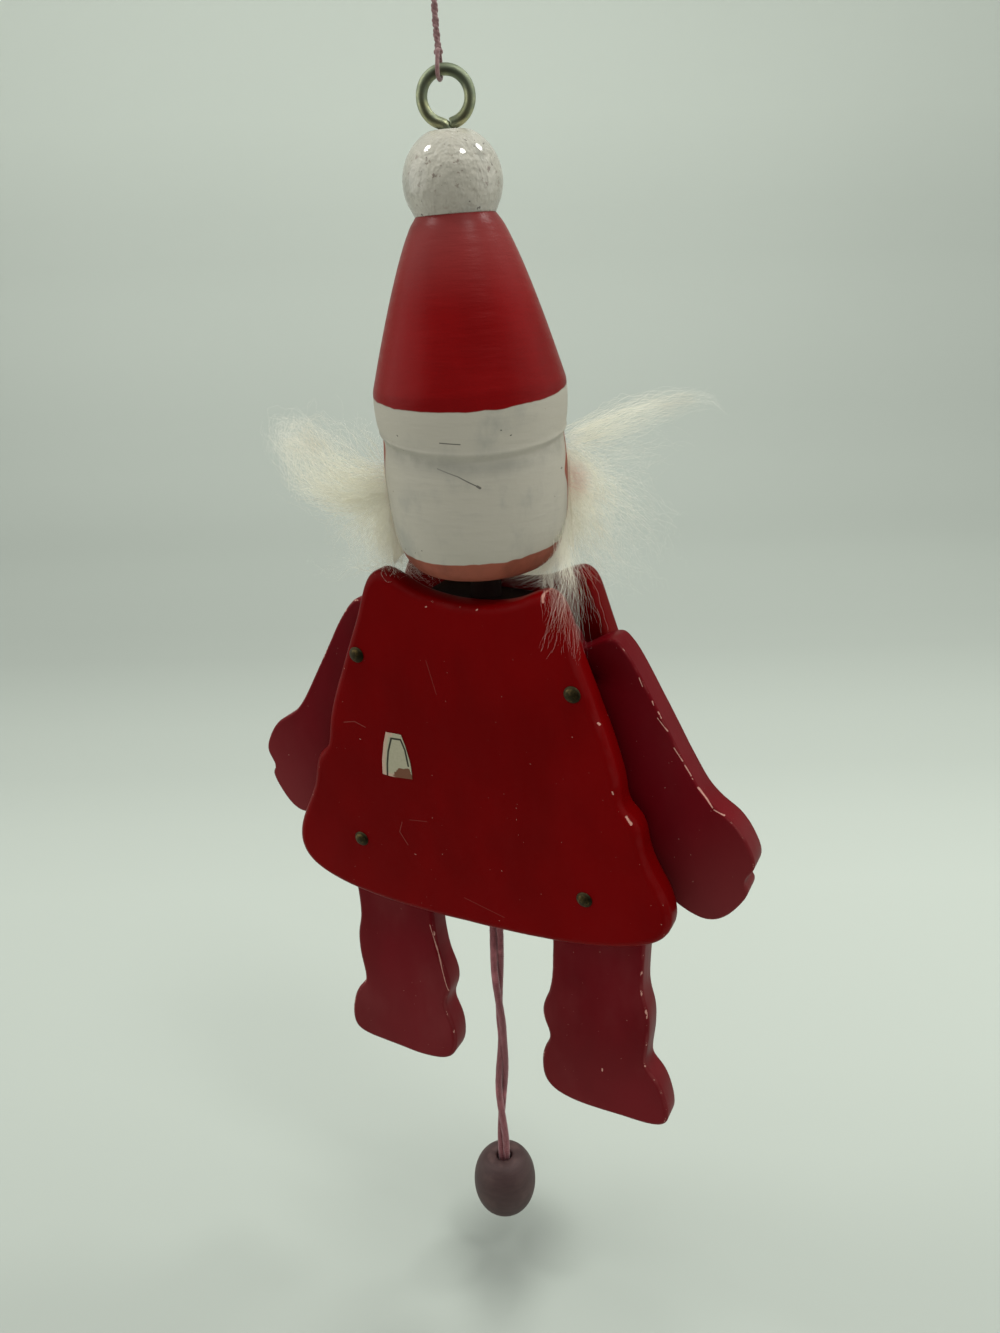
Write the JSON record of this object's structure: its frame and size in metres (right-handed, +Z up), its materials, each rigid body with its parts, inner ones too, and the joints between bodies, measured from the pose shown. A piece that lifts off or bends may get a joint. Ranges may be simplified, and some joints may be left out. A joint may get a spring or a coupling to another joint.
{
  "type": "pull string jumping jack",
  "caption": "Flat wooden jumping jack: a bearded winter figure in a pointed red hat hangs by a screw eye, and a beaded pull string lifts its arms and legs together.",
  "frame": {"origin": "centre of the screw eye's ring, where the part is held up", "axes": "+Z up; the front with the face looks towards -Y; +X is the figure's own left"},
  "size_m": [0.1146, 0.0431, 0.2983],
  "materials": {
    "eye_brass": "aged brass-plated wire, satin",
    "ball_white": "white gloss enamel on turned wood",
    "head_paint": "red, white and flesh gloss enamel on turned wood",
    "nose_paint": "red gloss enamel on a turned peg",
    "beard_fur": "loose curly fibre",
    "bare_wood": "bare wood with glue",
    "coat_paint": "deep red gloss enamel on thin board",
    "limb_paint": "maroon red gloss enamel on thin board",
    "nail_brass": "aged round brass nail",
    "pull_cord": "twisted cotton cord",
    "bead_stain": "dark red-brown stain, matt",
    "hanging_cord": "thin twisted cotton cord",
    "sticker_paper": "bare off-white paper, torn at one corner"
  },
  "bodies": {
    "figure": {"screw_eye": "eye_brass", "hat_ball": "ball_white", "turned_head": "head_paint", "nose": "nose_paint", "beard": "beard_fur", "neck_dowel": "bare_wood", "neck_block": "bare_wood", "front_panel": "coat_paint", "back_panel": "coat_paint", "right_arm_nail": "nail_brass", "left_arm_nail": "nail_brass", "right_leg_nail": "nail_brass", "left_leg_nail": "nail_brass", "hanging_string": "hanging_cord", "hanging_knot": "hanging_cord", "paper_sticker": "sticker_paper"},
    "right_arm": {"right_arm": "limb_paint"},
    "left_arm": {"left_arm": "limb_paint"},
    "right_leg": {"right_leg": "limb_paint"},
    "left_leg": {"left_leg": "limb_paint"},
    "pull": {"arm_string": "pull_cord", "leg_string": "pull_cord", "pull_string": "pull_cord", "pull_bead": "bead_stain", "bead_knot": "pull_cord"}
  },
  "joints": [
    {"name": "right_arm_swing", "type": "hinge", "parent": "figure", "child": "right_arm", "pos_m": [-0.0277, 0, -0.09852], "axis": [0, 1, 0], "range_deg": [0, 67.5]},
    {"name": "left_arm_swing", "type": "hinge", "parent": "figure", "child": "left_arm", "pos_m": [0.0195, 0, -0.09852], "axis": [0, -1, 0], "range_deg": [0, 67.5]},
    {"name": "right_leg_swing", "type": "hinge", "parent": "figure", "child": "right_leg", "pos_m": [-0.03047, 0, -0.14257], "axis": [0, 1, 0], "range_deg": [0, 60]},
    {"name": "left_leg_swing", "type": "hinge", "parent": "figure", "child": "left_leg", "pos_m": [0.02227, 0, -0.14257], "axis": [0, -1, 0], "range_deg": [0, 60]},
    {"name": "pull_slide", "type": "slide", "parent": "figure", "child": "pull", "axis": [0, 0, -1], "range_m": [0, 0.01]}
  ],
  "couplings": [
    {"joint": "left_arm_swing", "follows": "right_arm_swing", "ratio": 1},
    {"joint": "right_leg_swing", "follows": "right_arm_swing", "ratio": 0.8889},
    {"joint": "left_leg_swing", "follows": "right_arm_swing", "ratio": 0.8889},
    {"joint": "pull_slide", "follows": "right_arm_swing", "m_per_rad": 0.008488}
  ]
}
